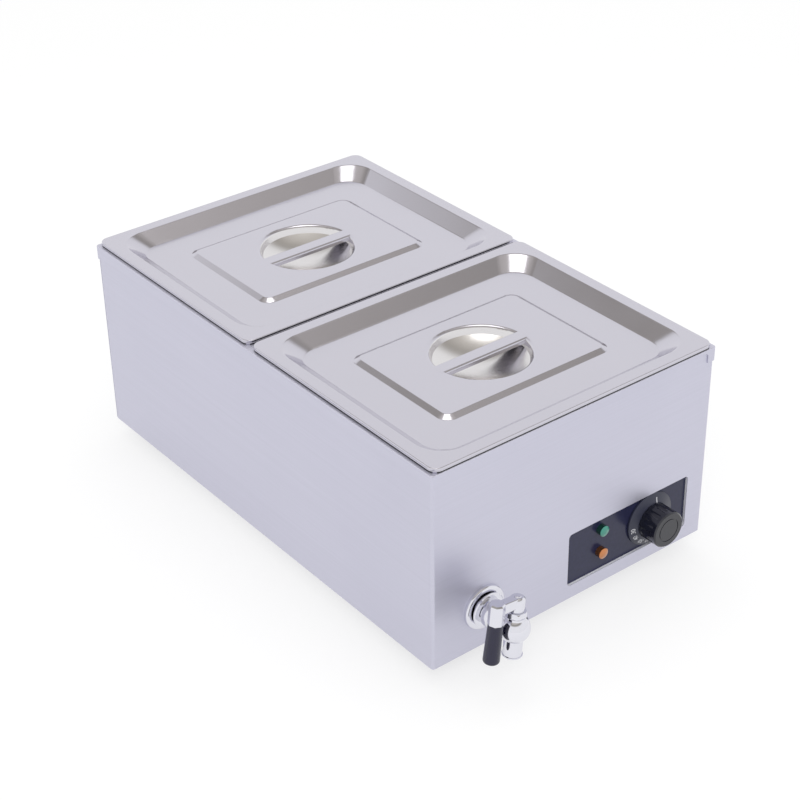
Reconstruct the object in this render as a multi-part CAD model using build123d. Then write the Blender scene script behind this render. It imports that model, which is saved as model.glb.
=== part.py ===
from build123d import *
from math import asin, cos, pi, radians, sin, tan
import os

# Countertop bain-marie: an electric water bath that keeps two half-size food pans warm.
# Millimetres. Z is up, the front with the controls and the tap faces -Y, X runs across.
# The origin is on the resting plane, under the middle of the casing.

# Sheet metal
sheet = 1.0                # casing, frame and tank
pan_sheet = 0.8            # pans and lids
bend = 3.0                 # outside radius of the casing's bent corners
lap_gap = 0.1              # between the frame's skirt and the casing
touch_gap = 0.1            # between stacked loose pieces, such as a pan's rim on the frame
running_fit = 0.05         # radial clearance round a turning shaft
hole_clearance = 0.1       # radial clearance of a screw's shank in its hole
thread_end = 2.0           # how far a thread stands out of its nut
fold_round = 0.9           # rounded share of a folded sheet's thickness

# Half-size food pans: the rim is the standard 325 by 265
pan_long = 325.0
pan_short = 265.0
pan_depth = 100.0
pan_gap = 4.4              # between the two pans' rims
rim_width = 11.5           # flat of the rim, from its edge to the pan's opening
rim_height = 2.2           # turned-down edge of the rim
rim_corner = 9.0
pan_corner = 30.5          # inside corner of the pan's opening
pan_floor_gap = 23.3       # water under the pan's floor
pan_draw = 8.0             # how much each wall leans in over the pan's depth
pan_floor_radius = 14.0

# Lids, pressed from sheet. Levels are below the top of the lid's flat edge
lid_lip = 2.2              # turned-down edge
lid_flat = 12.8            # flat edge, from the rim to the recess
recess_corner = 29.0
recess_depth = 11.0
recess_run = 15.0          # how far the recess wall leans in
recess_floor_corner = 23.0
plateau_long = 197.5       # raised rectangle inside the recess
plateau_short = 139.0
plateau_corner = 12.0
plateau_rise = 2.7
plateau_run = 5.5
dish_radius = 50.5         # round finger dish in the raised rectangle
dish_depth = 16.0
dish_lip = 4.0             # radius of the dish's rounded lip
dish_wall_lean = 65.0      # degrees from level
dish_wall_height = 7.2     # the bowl below the wall is part of a sphere
press_radius = 2.2         # bends of the pressed sheet
strap_width = 16.0         # grip strap across the dish
strap_side = 5.0
strap_sheet = 1.2

# Top frame and casing
side_strip = 3.45          # frame outside the pans' rims, at the sides
end_strip = 0.65           # and at the front and back
skirt_height = 14.0
lip_height = 3.6           # folded edge along the front and back
tab_width = 10.0           # where the side skirts wrap round the corners
tab_corner = 4.0
flange_turn = 14.0         # casing's bottom and back flanges
well_gap = 1.0             # pan wall to the edge of the well
tank_rise = 83.0           # tank's floor above the casing's bottom edge
well_corner = 33.0
well_floor_radius = 6.0
well_flange = 6.0          # tank's flange under the frame
bar_depth = 12.0           # bar between the pans
bar_end_gap = 0.3
ledge_reach = 8.0
ledge_height = 10.0

# Feet
foot_height = 22.0         # resting plane to the base plate
foot_radius = 14.0
foot_taper = 2.0
foot_round = 1.0
foot_inset_x = 41.85       # foot's centre from the casing's side
foot_inset_y = 38.0
foot_bolt_radius = 2.5
foot_head_radius = 4.7
foot_head_height = 3.0
foot_head_recess = 5.0     # head above the resting plane
foot_nut_height = 4.0
foot_nut_flats = 8.0

# Control window in the front, with its flange turned inwards
window_inset = 21.85       # window's edge from the casing's right side
window_width = 150.4
window_bottom = 14.4       # above the casing's bottom edge
window_height = 57.4
window_corner = 4.0
window_depth = 2.6
plate_lap = 6.0            # control plate behind the window's flange
plate_thick = 1.5

# Thermostat and its knob
knob_inset = 47.0          # from the window's right edge
knob_rise = 44.0           # above the casing's bottom edge
dial_radius = 27.5
dial_thick = 5.0
dial_rim = 1.6             # thickness of the dial's edge
dial_top_radius = 18.6     # of its coned face
dial_gap = 0.5             # dial to the control plate
dial_bore_radius = 6.0
knob_radius = 18.2
knob_reach = 24.0          # knob's face in front of the casing
knob_chamfer = 1.2
knob_groove_outer = 12.0
knob_groove_inner = 11.1
knob_groove_depth = 0.6
knob_flutes = 12
flute_length = 16.5
flute_radius = 4.0
flute_bite = 1.1
shaft_radius = 3.0
shaft_flat = 1.0           # depth of the flat on the shaft
shaft_grip = 15.0          # length of the shaft inside the knob
bush_radius = 5.0
thermostat_width = 42.0
thermostat_height = 34.0
thermostat_depth = 30.0
thermostat_corner = 2.5
fixing_spacing = 28.0
fixing_radius = 2.0

# Capillary and its bulb under the tank
capillary_radius = 1.0
capillary_inset = 4.0      # from the housing's edges
capillary_level_run = 30.0
capillary_climb_end = 70.0
capillary_bend = 12.0
bulb_radius = 3.2
bulb_length = 95.0
bulb_x = 70.0
bulb_y = -90.0             # front end of the bulb
bulb_clip_width = 8.0
bulb_clip_span = 24.0
bulb_clip_places = (0.15, 0.75)   # along the bulb

# Indicator lamps
lamp_inset = 41.6          # from the window's left edge
lamp_upper_rise = 59.3
lamp_lower_rise = 34.2
lens_radius = 5.4
lens_reach = 5.6           # straight part of the lens in front of the plate
lens_dome = 1.4
lens_stem_radius = 4.6
lamp_body_radius = 6.5
lamp_body_length = 20.0
lamp_tag_width = 3.0
lamp_tag_length = 7.0

# Heating element in the water, below the pans
element_radius = 4.0
element_rise = 15.5        # element's centre above the tank's floor
element_leg_bend = 10.5
element_runs = 4
element_pitch = 40.0
element_bend = 16.0
element_front_gap = 35.5   # element's ends to the tank's front wall
element_back_gap = 52.5    # and its bends to the back wall
element_leg = 24.0         # leg below the tank's floor
fitting_radius = 9.0
fitting_flange_radius = 12.0
fitting_flange_height = 3.0
fitting_nut_flats = 22.0
fitting_nut_height = 5.0
washer_height = 1.5
terminal_radius = 1.8
terminal_length = 9.0
saddle_thick = 2.0
saddle_places = (-120.0, 100.0)
saddle_overhang = 10.0

# Dry-run cut-out under the tank, terminal block and earth stud on the base
cut_out_x = 0.0
cut_out_y = -150.0
cut_out_radius = 9.0
cut_out_height = 12.0
cut_out_flange_length = 30.0
cut_out_flange_thick = 1.2
block_x = 20.0
block_inset = 76.75        # from the back
block_length = 52.0
block_width = 20.0
block_height = 18.0
block_corner = 1.5
block_ways = 4
block_screw_radius = 2.2
block_screw_depth = 9.0    # clamp well
block_screw_length = 6.0
earth_x = -50.0
earth_inset = 66.75        # from the back
earth_radius = 2.5
earth_length = 16.0

# Drain tap. Reach is measured out from the front of the casing along the tap's axis
tap_inset = 56.85          # from the casing's left side
tap_rise = 43.0            # above the casing's bottom edge
tap_roll = 5.0             # the fitted tap stands this many degrees past upright
rose_radius = 22.0
rose_thick = 4.5
rose_round = 2.5
stem_radius = 12.6         # between the rose and the bulge
collar_radius = 17.0       # raised ring on the stem
collar_start = 6.0
collar_end = 8.5
collar_chamfer = 0.8
bulge_radius = 13.4
bulge_reach = 14.0
neck_radius = 9.0
tap_reach = 41.5           # axis of the spindle and the spout
ball_radius = 14.2
ball_rise = 2.0            # ball's centre above the tap's axis
spout_radius = 8.7
spout_drop = 26.0
spout_bead = 0.6
waterway_radius = 5.0
outlet_radius = 6.5
chamber_radius = 7.5
plug_half = 9.0            # half the height of the turning plug
bonnet_radius = 9.2
bonnet_top = 15.0
packing_height = 3.0
gland_flats = 17.0
gland_height = 5.5
gland_spigot = 1.0         # part of the gland nut inside the bonnet
spindle_radius = 3.5
tail_radius = 8.5
tail_length = 9.0          # threaded tail behind the casing's front
barb_radius = 6.5
barb_length = 16.0
backnut_flats = 26.0
backnut_height = 5.0

# Lever of the tap: arm, faceted knuckle and hanging grip. Levels are above the tap's axis
hub_radius = 7.0
hub_top = 34.5
hub_cap = 6.0              # hub above the spindle's end
hub_round = 3.5
lever_round = 1.5
arm_length = 23.0
arm_width = 9.0
arm_bottom = 24.0
knuckle_flats = 13.4
knuckle_top = 36.0
knuckle_chamfer = 1.2
grip_top = 15.5
grip_bottom = -25.0
grip_top_radius = 6.7
grip_radius = 7.7          # at its foot
grip_splay = 1.6
grip_round = 3.0
tang_radius = 3.2
tang_sunk = 1.0            # tang inside the knuckle
tang_length = 34.0
lever_screw_radius = 1.8
lever_screw_head = 3.2
lever_screw_head_height = 1.0
lever_screw_round = 0.7

# Drain from the tank's floor to the tap
drain_inset = 45.5         # from the tank's front wall
spigot_wall = 1.5
spigot_nut_flats = 24.0
spigot_nut_height = 4.0
drain_flange_radius = 13.0
drain_flange_height = 1.5
hose_wall = 2.0
hose_bend = 22.0
hose_start_gap = 1.0       # below the spigot's nut
clip_width = 7.0
clip_thick = 1.0
clip_ear = 6.0

# Back: vents, cord gland
vent_width = 44.0
vent_height = 4.0
vent_pitch = 9.0
vent_rows = 6
vent_rise = 40.0
vent_x = 70.0
gland_inset = 59.85        # from the casing's left side
gland_rise = 36.0
gland_bore = 4.0
gland_thread_radius = 8.0
gland_body_flats = 22.0
gland_body_height = 7.0
gland_cap_radius = 9.6
gland_cap_height = 12.0
gland_cap_round = 3.5
gland_nut_height = 4.0

# Screws and nuts
nut_turn = 0.7             # share of a nut's corners turned off
screw_radius = 2.0
screw_head_radius = 3.8
screw_head_height = 1.6
screw_head_round = 0.6     # rounded share of the head's height
screw_length = 8.0
base_screw_rows = 4
back_screw_rows = 3

# Places that follow from the sizes above
frame_width = pan_long + 2 * side_strip
frame_length = 2 * pan_short + pan_gap + 2 * end_strip
case_width = frame_width - 2 * (sheet + lap_gap)
case_length = frame_length - 2 * (sheet + lap_gap)
case_bottom = foot_height - sheet
tank_floor = case_bottom + tank_rise
frame_top = tank_floor + pan_floor_gap + pan_depth - rim_height - touch_gap
frame_under = frame_top - sheet
front = -case_length / 2
back = case_length / 2
pan_y = (pan_short + pan_gap) / 2
rim_top = frame_top + touch_gap + rim_height
lid_top = rim_top + touch_gap + lid_lip
pan_body_long = pan_long - 2 * rim_width + 2 * pan_sheet
pan_body_short = pan_short - 2 * rim_width + 2 * pan_sheet
well_width = pan_body_long + 2 * well_gap
well_length = 2 * pan_y + pan_body_short + 2 * well_gap
tank_under = tank_floor - sheet
bar_width = 2 * pan_y - pan_body_short - 2 * well_gap
element_front = element_front_gap - well_length / 2
element_back = well_length / 2 - element_back_gap
drain_y = drain_inset - well_length / 2
block_y = back - block_inset
earth_y = back - earth_inset
gland_x = gland_inset - case_width / 2
base_top = foot_height + sheet
window_right = case_width / 2 - window_inset
window_left = window_right - window_width
window_x = window_left + window_width / 2
window_z = case_bottom + window_bottom + window_height / 2
plate_face = front + window_depth
plate_back = plate_face + plate_thick
knob_x = window_right - knob_inset
knob_z = case_bottom + knob_rise
lamp_x = window_left + lamp_inset
tap_x = tap_inset - case_width / 2
tap_z = case_bottom + tap_rise
foot_x = case_width / 2 - foot_inset_x
foot_y = case_length / 2 - foot_inset_y
tail_end = sheet + tail_length
barb_end = tail_end + barb_length
hose_top = tank_under - spigot_nut_height - hose_start_gap

UPWARD = (Align.CENTER, Align.CENTER, Align.MIN)


def block(width, length, height, x=0, y=0, z=0):
    """Box standing on z, centred on x and y."""
    return Pos(x, y, z) * Box(width, length, height, align=UPWARD)


def slab(width, length, height, corner, x=0, y=0, z=0):
    """Upright block with rounded vertical corners."""
    return Pos(x, y, z) * extrude(RectangleRounded(width, length, corner), amount=height)


def rod(radius, length, x=0, y=0, z=0, along=(0, 0, 1)):
    """Round bar from a point, along a direction."""
    return Plane(origin=(x, y, z), z_dir=along) * Cylinder(radius, length, align=UPWARD)


def hexagon(flats, length, x=0, y=0, z=0, along=(0, 0, 1)):
    """Hexagonal bar, sized across its flats."""
    outline = RegularPolygon(flats / 2, 6, major_radius=False)
    return Plane(origin=(x, y, z), z_dir=along) * extrude(outline, amount=length)


def chamfered_nut(flats, length, x=0, y=0, z=0, along=(0, 0, 1)):
    """Hexagonal bar with its corners turned off at both ends."""
    corner = flats / 2 / cos(pi / 6)
    turned = chamfer(Cylinder(corner, length, align=UPWARD).edges(), (corner - flats / 2) * nut_turn)
    return hexagon(flats, length, x, y, z, along) & (Plane(origin=(x, y, z), z_dir=along) * turned)


def ring(outer, inner, height, x, y, z):
    return rod(outer, height, x, y, z) - rod(inner, height, x, y, z)


def tube_along(path, radius):
    """Round solid swept along a path."""
    start = path @ 0
    return sweep(Plane(origin=start, z_dir=path % 0) * Circle(radius), path=path)


def together(pieces):
    """Separate solids of one node."""
    return Compound(children=list(pieces))


def save(name, shape):
    export_step(shape, f"parts/{name}.step")


# Casing

def window_cut(grow, depth, y):
    """Rounded window shape, grown by a margin, cut or raised along Y from y."""
    outline = RectangleRounded(window_width + 2 * grow, window_height + 2 * grow, window_corner + grow)
    plane = Plane(origin=(window_x, y, window_z), x_dir=(1, 0, 0), z_dir=(0, 1, 0))
    return plane * extrude(outline, amount=depth)


def casing_wrap():
    """Front and sides bent from one sheet, with flanges turned in at the back and the bottom."""
    length = case_length - sheet
    y = -sheet / 2
    height = frame_under - case_bottom
    outer = slab(case_width, length, height, bend, y=y, z=case_bottom)
    inner = slab(case_width - 2 * sheet, length - 2 * sheet, height, bend - sheet, y=y, z=case_bottom)
    wrap = outer - inner
    gap = case_width - 2 * flange_turn
    wrap -= block(gap, 4 * sheet, height, y=back - sheet, z=case_bottom)
    foot = slab(case_width, length, sheet, bend, y=y, z=case_bottom)
    foot -= block(gap, length, sheet, y=y + flange_turn, z=case_bottom)
    foot -= block(gap, 2 * flange_turn, sheet, y=back, z=case_bottom)
    wrap += foot
    wrap += window_cut(sheet, window_depth, front)
    wrap -= window_cut(0, window_depth, front)
    wrap -= rod(tail_radius + hole_clearance, sheet, tap_x, front, tap_z, (0, 1, 0))
    for x, y in base_screw_places():
        wrap -= rod(screw_radius + hole_clearance, sheet, x, y, case_bottom)
    for x, z in back_screw_places():
        wrap -= rod(screw_radius, sheet, x, back - 2 * sheet, z, (0, 1, 0))
    return wrap


def base_screw_places():
    """Screws up through the casing's bottom flange, along both sides and the front."""
    x = case_width / 2 - flange_turn / 2
    pitch = (case_length - 4 * flange_turn) / (base_screw_rows - 1)
    rows = [(i - (base_screw_rows - 1) / 2) * pitch for i in range(base_screw_rows)]
    sides = [(side * x, y) for side in (-1, 1) for y in rows]
    y = front + flange_turn / 2 + sheet
    return sides + [(-case_width / 6, y), (case_width / 6, y)]


def back_screw_places():
    """Screws through the back panel into the casing's back flanges."""
    x = case_width / 2 - flange_turn / 2
    low = case_bottom + 2 * flange_turn
    pitch = (frame_under - skirt_height - flange_turn - low) / (back_screw_rows - 1)
    return [(sx * x, low + i * pitch) for sx in (-1, 1) for i in range(back_screw_rows)]


def back_panel():
    """Flat back with vents, a hole for the cord gland and a lip under the base plate."""
    height = frame_under - case_bottom
    panel = block(case_width, sheet, height, y=back - sheet / 2, z=case_bottom)
    panel &= slab(case_width, case_length, height, bend, z=case_bottom)
    lip_width = case_width - 2 * flange_turn - 2 * sheet
    panel += block(lip_width, flange_turn, sheet, y=back - flange_turn / 2, z=case_bottom)
    for row in range(vent_rows):
        z = case_bottom + vent_rise + row * vent_pitch
        for x in (-vent_x / 2, vent_x / 2):
            panel -= block(vent_width, 3 * sheet, vent_height, x=x, y=back - sheet / 2, z=z)
    gland_z = case_bottom + gland_rise
    panel -= rod(gland_thread_radius, 3 * sheet, gland_x, back - 2 * sheet, gland_z, (0, 1, 0))
    for x, z in back_screw_places():
        panel -= rod(screw_radius + hole_clearance, sheet, x, back - sheet, z, (0, 1, 0))
    return panel


def base_plate():
    """Floor of the casing, resting on its bottom flanges, with vent slots."""
    width = case_width - 2 * sheet - 2 * lap_gap
    length = case_length - 3 * sheet - 2 * lap_gap
    plate = slab(width, length, sheet, bend, y=-sheet / 2, z=foot_height)
    for row in range(vent_rows):
        y = (row - (vent_rows - 1) / 2) * vent_pitch
        for x in (-vent_x, vent_x):
            plate -= block(vent_width, vent_height, sheet, x=x, y=y, z=foot_height)
    for x, y in base_screw_places():
        plate -= rod(screw_radius, sheet, x, y, foot_height)
    for x, y in foot_places():
        plate -= rod(foot_bolt_radius + hole_clearance, sheet, x, y, foot_height)
    plate -= rod(earth_radius, sheet, earth_x, earth_y, foot_height)
    return plate


def pan_head_screw(length, radius, head_radius, head_height):
    """Screw pointing up, with the underside of its head at the origin."""
    head = Pos(0, 0, -head_height) * Cylinder(head_radius, head_height, align=UPWARD)
    head = fillet(head.edges().group_by(Axis.Z)[0], head_height * screw_head_round)
    return head + Cylinder(radius, length, align=UPWARD)


def base_screws():
    screw = pan_head_screw(screw_length, screw_radius, screw_head_radius, screw_head_height)
    return together(Pos(x, y, case_bottom) * screw for x, y in base_screw_places())


def back_screws():
    screw = pan_head_screw(screw_length, screw_radius, screw_head_radius, screw_head_height)
    return together(Pos(x, back, z) * Rot(90, 0, 0) * screw for x, z in back_screw_places())


# Frame, tank and the bar between the pans

def top_frame():
    """Flat top with skirts down the sides that wrap round the corners, and a folded front edge."""
    z = frame_top - skirt_height
    outer = slab(frame_width, frame_length, skirt_height, bend, z=z)
    outer = fillet(outer.edges().group_by(Axis.Z)[-1], sheet * fold_round)
    inner = slab(frame_width - 2 * sheet, frame_length - 2 * sheet, skirt_height - sheet, bend - sheet, z=z)
    frame = outer - inner
    between = frame_width - 2 * tab_width
    gap = block(between, 2 * frame_length, skirt_height - lip_height, z=z)
    gap = fillet(gap.edges().filter_by(Axis.Y).group_by(Axis.Z)[-1], tab_corner)
    frame -= gap
    return frame - slab(well_width, well_length, 2 * skirt_height, well_corner, z=z)


def water_tank():
    """Open tank hung from the frame, with holes in its floor for the element and the drain."""
    depth = frame_under - tank_under
    outer = slab(well_width + 2 * sheet, well_length + 2 * sheet, depth, well_corner + sheet, z=tank_under)
    outer = fillet(outer.edges().group_by(Axis.Z)[0], well_floor_radius + sheet)
    inner = slab(well_width, well_length, depth, well_corner, z=tank_floor)
    inner = fillet(inner.edges().group_by(Axis.Z)[0], well_floor_radius)
    flange = slab(well_width + 2 * sheet + 2 * well_flange, well_length + 2 * sheet + 2 * well_flange,
                  sheet, well_corner + sheet + well_flange, z=frame_under - sheet)
    tank = outer + flange - inner
    for x in element_legs():
        tank -= rod(fitting_radius, sheet, x, element_front, tank_under)
    return tank - rod(barb_radius, sheet, tap_x, drain_y, tank_under)


def cross_bar():
    """Channel between the pans, its top level with the frame."""
    length = well_width - 2 * bar_end_gap
    bar = block(length, bar_width, bar_depth, z=frame_top - bar_depth)
    bar = fillet(bar.edges().filter_by(Axis.X).group_by(Axis.Z)[-1], bend / 2)
    return bar - block(length, bar_width - 2 * sheet, bar_depth - sheet, z=frame_top - bar_depth)


def bar_ledges():
    """Angles on the tank's walls that carry the ends of the bar."""
    top = frame_top - bar_depth
    ledges = []
    for side in (-1, 1):
        wall = side * well_width / 2
        seat = block(ledge_reach, bar_width, sheet, x=wall - side * ledge_reach / 2, z=top - sheet)
        seat += block(sheet, bar_width, ledge_height, x=wall - side * sheet / 2, z=top - ledge_height)
        ledges.append(seat)
    return together(ledges)


# Pans

def tapered(long, short, corner, depth, draw, floor_radius, top):
    """Solid that narrows downwards, with a rounded floor edge."""
    upper = Pos(0, 0, top) * RectangleRounded(long, short, corner)
    lower_corner = max(corner - draw, floor_radius)
    lower = Pos(0, 0, top - depth) * RectangleRounded(long - 2 * draw, short - 2 * draw, lower_corner)
    body = loft([upper, lower], ruled=True)
    return fillet(body.edges().group_by(Axis.Z)[0], floor_radius)


def pan(y):
    """Half-size food pan with a flat rim and a turned-down edge."""
    outer = tapered(pan_body_long, pan_body_short, pan_corner + pan_sheet, pan_depth, pan_draw,
                    pan_floor_radius + pan_sheet, rim_top)
    inner = tapered(pan_body_long - 2 * pan_sheet, pan_body_short - 2 * pan_sheet, pan_corner,
                    pan_depth - pan_sheet, pan_draw, pan_floor_radius, rim_top)
    rim = slab(pan_long, pan_short, rim_height, rim_corner, z=rim_top - rim_height)
    rim = fillet(rim.edges().group_by(Axis.Z)[-1], pan_sheet)
    hollow = slab(pan_long - 2 * pan_sheet, pan_short - 2 * pan_sheet, rim_height - pan_sheet,
                  rim_corner - pan_sheet, z=rim_top - rim_height)
    return Pos(0, y, 0) * (rim - hollow + outer - inner)


# Lids

def frustum(long, short, corner, low_corner, run, top, height):
    """Solid between two level rounded rectangles; it narrows downwards by the run."""
    upper = Pos(0, 0, top) * RectangleRounded(long, short, corner)
    lower = Pos(0, 0, top - height) * RectangleRounded(long - 2 * run, short - 2 * run, low_corner)
    return loft([upper, lower], ruled=True)


def lid_form():
    """Solid under the pressed sheet's upper side, without the dish."""
    flat = lid_top
    floor = flat - recess_depth
    body = slab(pan_long, pan_short, 3 * recess_depth, rim_corner, z=flat - 3 * recess_depth)
    body -= frustum(pan_long - 2 * lid_flat, pan_short - 2 * lid_flat, recess_corner, recess_floor_corner,
                    recess_run, flat, recess_depth)
    body += frustum(plateau_long - 2 * plateau_run, plateau_short - 2 * plateau_run,
                    plateau_corner - plateau_run, plateau_corner, -plateau_run, plateau_top(), plateau_rise)
    inside = pan_long / 2 - lid_flat / 2
    bends = [e for e in body.edges() if floor - touch_gap < e.center().Z < flat + touch_gap
             and abs(e.center().X) < inside and abs(e.center().Y) < pan_short / 2 - lid_flat / 2
             and e.bounding_box().size.Z < touch_gap]
    return fillet(bends, press_radius)


def plateau_top():
    return lid_top - recess_depth + plateau_rise


def dish_solid(thickness):
    """Solid of revolution that fills the dish up to its lip, made larger by the sheet's thickness."""
    top = plateau_top()
    lean = radians(dish_wall_lean)
    lip_radius = dish_lip - thickness
    lip_half, lip_end = [(dish_radius - lip_radius * sin(a), top - dish_lip + lip_radius * cos(a))
                         for a in (lean / 2, lean)]
    shoulder_level = top - dish_wall_height
    shoulder = lip_end[0] - (lip_end[1] - shoulder_level) / tan(lean)
    bowl_depth = dish_depth + thickness - dish_wall_height
    bowl_radius = (shoulder ** 2 + bowl_depth ** 2) / (2 * bowl_depth)
    bowl_half = asin(shoulder / bowl_radius) / 2
    deepest = (0, shoulder_level - bowl_depth)
    middle = (bowl_radius * sin(bowl_half), deepest[1] + bowl_radius * (1 - cos(bowl_half)))
    lip_start = (dish_radius, top - thickness)
    edges = [Line((0, top), (dish_radius, top)), ThreePointArc(lip_start, lip_half, lip_end),
             Line(lip_end, (shoulder, shoulder_level)),
             ThreePointArc((shoulder, shoulder_level), middle, deepest), Line(deepest, (0, top))]
    if thickness:
        edges.insert(1, Line((dish_radius, top), lip_start))
    return revolve(Plane.XZ * make_face(edges), axis=Axis.Z)


def lid_shell():
    """Pressed lid at the middle of the frame."""
    form = lid_form()
    long = pan_long - 2 * pan_sheet
    short = pan_short - 2 * pan_sheet
    inside = slab(long, short, 4 * recess_depth, rim_corner - pan_sheet, z=lid_top - 4 * recess_depth)
    skin = (form - Pos(0, 0, -pan_sheet) * form) & inside
    skin = skin + dish_solid(pan_sheet) - dish_solid(0)
    edge = slab(pan_long, pan_short, lid_lip, rim_corner, z=lid_top - lid_lip)
    edge = fillet(edge.edges().group_by(Axis.Z)[-1], pan_sheet * fold_round)
    return skin + (edge - inside)


def lid_strap():
    """Channel across the dish, level with the raised rectangle, cut to the dish's wall."""
    top = plateau_top()
    strap = block(2 * dish_radius, strap_width, strap_side, z=top - strap_side)
    strap = fillet(strap.edges().filter_by(Axis.X).group_by(Axis.Z)[-1], strap_side / 2)
    strap -= block(2 * dish_radius, strap_width - 2 * strap_sheet, strap_side - strap_sheet,
                   z=top - strap_side)
    return strap & dish_solid(0)


# Controls

def control_plate():
    """Plate behind the window, with holes for the thermostat's bush and fixings and for the lamps."""
    plate = window_cut(plate_lap, plate_thick, plate_face)
    holes = [(knob_x, knob_z, bush_radius)]
    holes += [(x, knob_z, fixing_radius + hole_clearance) for x in fixing_places()]
    holes += [(lamp_x, z, lens_stem_radius + hole_clearance) for z in lamp_levels()]
    for x, z, radius in holes:
        plate -= rod(radius, plate_thick, x, plate_face, z, (0, 1, 0))
    return plate


def fixing_places():
    return (knob_x - fixing_spacing / 2, knob_x + fixing_spacing / 2)


def lamp_levels():
    return (case_bottom + lamp_upper_rise, case_bottom + lamp_lower_rise)


def lamp_lens(z):
    """Domed lens with a stem through the plate."""
    disc = rod(lens_radius, lens_reach, lamp_x, plate_face, z, (0, -1, 0))
    disc += Pos(lamp_x, plate_face - lens_reach, z) * Rot(90, 0, 0) * lens_cap()
    return disc + rod(lens_stem_radius, plate_thick, lamp_x, plate_face, z, (0, 1, 0))


def lens_cap():
    """Low spherical cap standing on the origin."""
    sphere_radius = (lens_radius ** 2 + lens_dome ** 2) / (2 * lens_dome)
    ball = Pos(0, 0, lens_dome - sphere_radius) * Sphere(sphere_radius)
    return ball & block(4 * lens_radius, 4 * lens_radius, 2 * lens_dome)


def lamp_holders():
    """Bodies of the two lamps behind the plate, each with a pair of tags."""
    holders = []
    for z in lamp_levels():
        body = rod(lamp_body_radius, lamp_body_length, lamp_x, plate_back, z, (0, 1, 0))
        end = plate_back + lamp_body_length
        for side in (-1, 1):
            body += block(sheet, lamp_tag_length, lamp_tag_width, lamp_x + side * lamp_body_radius / 2,
                          end + lamp_tag_length / 2, z - lamp_tag_width / 2)
        holders.append(body)
    return together(holders)


def dial_skirt():
    """Numbered ring with a coned face that turns with the knob."""
    dial = Cylinder(dial_radius, dial_rim, align=UPWARD)
    dial += Pos(0, 0, dial_rim) * Cone(dial_radius, dial_top_radius, dial_thick - dial_rim, align=UPWARD)
    dial -= Cylinder(dial_bore_radius, dial_thick, align=UPWARD)
    return Pos(knob_x, dial_back(), knob_z) * Rot(90, 0, 0) * dial


def dial_back():
    return plate_face - dial_gap


def knob_back():
    return dial_back() - dial_thick


def control_knob():
    """Fluted knob with a dished face and a bore for the flatted shaft."""
    length = knob_back() - (front - knob_reach)
    body = Cylinder(knob_radius, length, align=UPWARD)
    body = chamfer(body.edges().group_by(Axis.Z)[-1], knob_chamfer)
    flute = rod(flute_radius, flute_length, knob_radius + flute_radius - flute_bite)
    for i in range(knob_flutes):
        body -= Rot(0, 0, i * 360 / knob_flutes) * flute
    groove = length - knob_groove_depth
    body -= ring(knob_groove_outer, knob_groove_inner, knob_groove_depth, 0, 0, groove)
    body -= flatted(shaft_radius, shaft_grip)
    return Pos(knob_x, knob_back(), knob_z) * Rot(90, 0, 0) * body


def flatted(radius, length):
    """Round bar with a flat, standing on the origin."""
    return Cylinder(radius, length, align=UPWARD) - block(
        2 * radius, shaft_flat, length, y=radius - shaft_flat / 2)


def thermostat_shaft():
    """Shaft from inside the thermostat to the inside of the knob."""
    root = plate_back + sheet
    plain = rod(shaft_radius, root - knob_back(), knob_x, root, knob_z, (0, -1, 0))
    return plain + Pos(knob_x, knob_back(), knob_z) * Rot(90, 0, 0) * flatted(shaft_radius, shaft_grip)


def thermostat_body():
    """Switch housing with a bush through the plate and terminals at the back."""
    body = block(thermostat_width, thermostat_depth, thermostat_height, knob_x,
                 plate_back + thermostat_depth / 2, knob_z - thermostat_height / 2)
    body = fillet(body.edges().filter_by(Axis.Y), thermostat_corner)
    body += rod(bush_radius, plate_thick, knob_x, plate_back, knob_z, (0, -1, 0))
    bore = shaft_radius + running_fit
    body -= rod(bore, 3 * plate_thick, knob_x, plate_face - plate_thick, knob_z, (0, 1, 0))
    for x in fixing_places():
        body -= rod(fixing_radius, screw_length, x, plate_back, knob_z, (0, 1, 0))
    for side in (-1, 1):
        body += block(sheet, lamp_tag_length, lamp_tag_width * 2, knob_x + side * thermostat_width / 4,
                      plate_back + thermostat_depth + lamp_tag_length / 2, knob_z - lamp_tag_width)
    return body


def thermostat_screws():
    """Screws flush with the plate, under the dial, that hold the thermostat."""
    return together(rod(fixing_radius, plate_thick + screw_length, x, plate_face, knob_z, (0, 1, 0))
                    for x in fixing_places())


def bulb_z():
    return tank_under - touch_gap - bulb_radius


def thermostat_capillary():
    """Thin tube from the thermostat to the bulb."""
    x = knob_x - thermostat_width / 4 + capillary_inset
    y = plate_back + thermostat_depth
    z = knob_z + thermostat_height / 2 - capillary_inset
    points = [(x, y, z), (x, y + capillary_level_run, z),
              (bulb_x, y + capillary_climb_end, bulb_z()), (bulb_x, bulb_y, bulb_z())]
    return tube_along(FilletPolyline(*points, radius=capillary_bend), capillary_radius)


def thermostat_bulb():
    bulb = rod(bulb_radius, bulb_length, bulb_x, bulb_y, bulb_z(), (0, 1, 0))
    return fillet(bulb.edges().group_by(Axis.Y)[-1], 3 / 4 * bulb_radius)


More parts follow.
